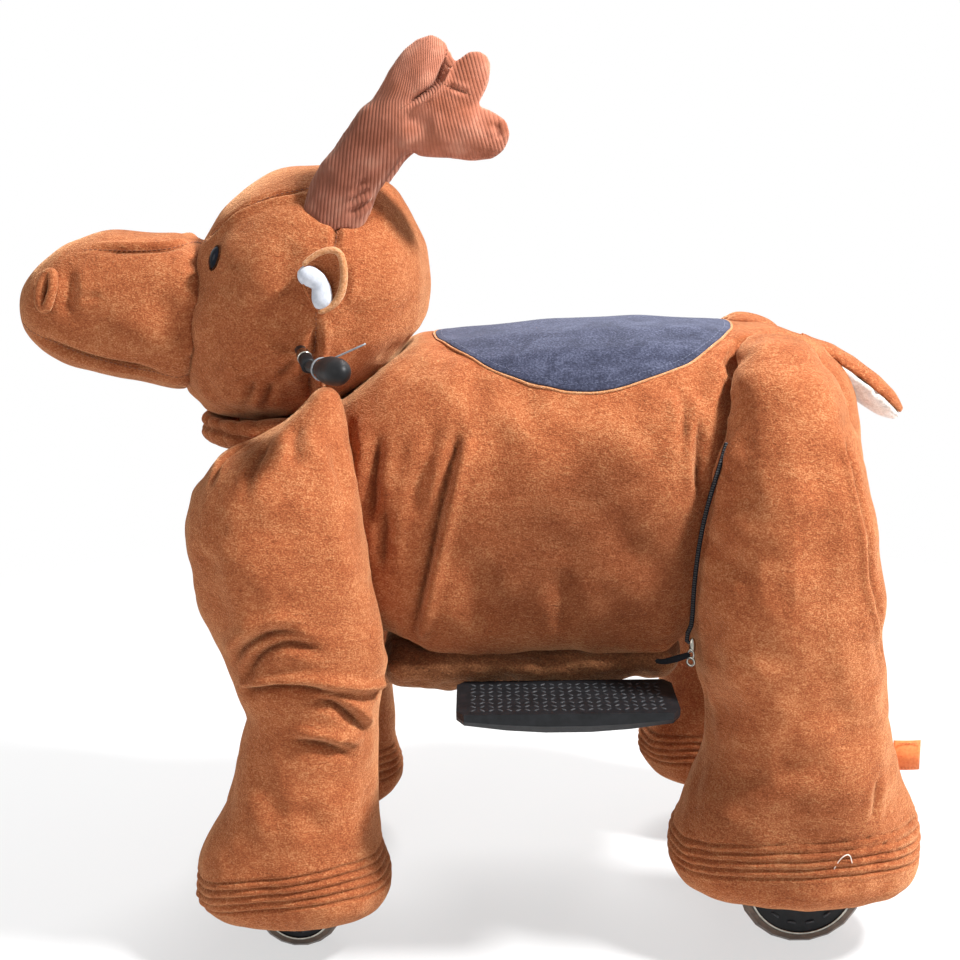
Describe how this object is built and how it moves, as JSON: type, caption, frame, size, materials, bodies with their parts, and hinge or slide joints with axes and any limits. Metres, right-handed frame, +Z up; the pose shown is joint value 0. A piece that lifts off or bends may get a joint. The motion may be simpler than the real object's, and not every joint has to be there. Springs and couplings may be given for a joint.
{
  "type": "plush ride-on animal",
  "caption": "Plush antlered ride-on animal: head and handlebar steer the front hooves' wheels, hind legs swing on a hip shaft when the rider stands on the footrests.",
  "frame": {"origin": "on the floor, under the middle of the overall box", "axes": "+Z up, +X towards the tail, -X towards the nose, -Y is the animal's left side"},
  "size_m": [1.022, 0.527, 1.0161],
  "materials": {
    "plush": "short-pile orange-brown plush",
    "white_plush": "short-pile off-white plush",
    "velvet": "slate velvet",
    "corduroy": "pinkish-brown corduroy",
    "steel": "black powder coat",
    "bright_steel": "zinc plated",
    "plastic": "black moulded",
    "rubber": "black moulded",
    "tyre": "brownish polyurethane",
    "foam": "open foam",
    "board": "bare plywood",
    "bush": "natural acetal",
    "eye": "polished blue-black",
    "label": "woven orange tape",
    "zip": "black zip tape"
  },
  "bodies": {
    "chassis": {"backbone": "steel", "front_yoke": "steel", "front_leg_tube_left": "steel", "front_leg_tube_right": "steel", "kingpin_bush_left": "bush", "kingpin_bush_right": "bush", "seat_board": "board", "seat_foam": "foam", "stop_buffer": "rubber", "return_spring": "bright_steel", "body_plush": "plush", "belly_flap": "plush", "front_leg_plush_left": "plush", "front_leg_plush_right": "plush", "tail_top": "plush", "tail_underside": "white_plush", "seat_cover": "velvet", "neck_collar": "plush"},
    "steering": {"steering_column": "steel", "handlebar": "steel", "grip_left": "rubber", "grip_right": "rubber", "head_plush": "plush", "muzzle_plush": "plush", "nostril_left": "plush", "nostril_right": "plush", "eye_left": "eye", "eye_right": "eye", "ear_left": "plush", "ear_right": "plush", "antler_left": "corduroy", "antler_right": "corduroy"},
    "front_swivel_left": {"fork_left": "steel", "steering_arm_left": "steel", "front_axle_left": "bright_steel"},
    "front_swivel_right": {"fork_right": "steel", "steering_arm_right": "steel", "front_axle_right": "bright_steel"},
    "steering_link": {"tie_rod": "steel"},
    "front_wheel_left": {"front_hub_left": "plastic", "front_tyre_left": "tyre"},
    "front_wheel_right": {"front_hub_right": "plastic", "front_tyre_right": "tyre"},
    "hind_frame": {"hip_shaft": "bright_steel", "hind_leg_tube_left": "steel", "hind_leg_tube_right": "steel", "pedal_lever": "steel", "footrest_left": "plastic", "footrest_right": "plastic", "hind_leg_plush_left": "plush", "hind_leg_plush_right": "plush", "rear_axle_left": "bright_steel", "rear_axle_right": "bright_steel", "label_tab": "label", "zip_left": "zip", "zip_right": "zip"},
    "rear_wheel_left": {"rear_hub_left": "plastic", "rear_tyre_left": "tyre"},
    "rear_wheel_right": {"rear_hub_right": "plastic", "rear_tyre_right": "tyre"}
  },
  "joints": [
    {"name": "steer", "type": "hinge", "parent": "chassis", "child": "steering", "pos_m": [-0.201, 0, 0.55], "axis": [0, 0, 1], "range_deg": [-25, 25]},
    {"name": "swivel_left", "type": "hinge", "parent": "chassis", "child": "front_swivel_left", "pos_m": [-0.201, -0.155, 0.55], "axis": [0, 0, 1], "range_deg": [-25, 25]},
    {"name": "swivel_right", "type": "hinge", "parent": "chassis", "child": "front_swivel_right", "pos_m": [-0.201, 0.155, 0.55], "axis": [0, 0, 1], "range_deg": [-25, 25]},
    {"name": "link_pivot", "type": "hinge", "parent": "steering", "child": "steering_link", "pos_m": [-0.156, 0, 0.5626], "axis": [0, 0, 1], "range_deg": [-25, 25]},
    {"name": "front_spin_left", "type": "hinge", "parent": "front_swivel_left", "child": "front_wheel_left", "pos_m": [-0.201, -0.155, 0.04938], "axis": [0, 1, 0], "continuous": true},
    {"name": "front_spin_right", "type": "hinge", "parent": "front_swivel_right", "child": "front_wheel_right", "pos_m": [-0.201, 0.155, 0.04938], "axis": [0, 1, 0], "continuous": true},
    {"name": "hind_swing", "type": "hinge", "parent": "chassis", "child": "hind_frame", "pos_m": [0.362, 0, 0.585], "axis": [0, -1, 0], "range_deg": [0, 8], "stiffness_Nm_per_rad": 150, "springref_deg": -4.01, "deforming": ["return_spring"]},
    {"name": "rear_spin_left", "type": "hinge", "parent": "hind_frame", "child": "rear_wheel_left", "pos_m": [0.376, -0.155, 0.07161], "axis": [0, 1, 0], "continuous": true},
    {"name": "rear_spin_right", "type": "hinge", "parent": "hind_frame", "child": "rear_wheel_right", "pos_m": [0.376, 0.155, 0.07161], "axis": [0, 1, 0], "continuous": true}
  ],
  "couplings": [
    {"joint": "swivel_left", "follows": "steer", "ratio": 1},
    {"joint": "swivel_right", "follows": "steer", "ratio": 1},
    {"joint": "link_pivot", "follows": "steer", "ratio": -1}
  ]
}
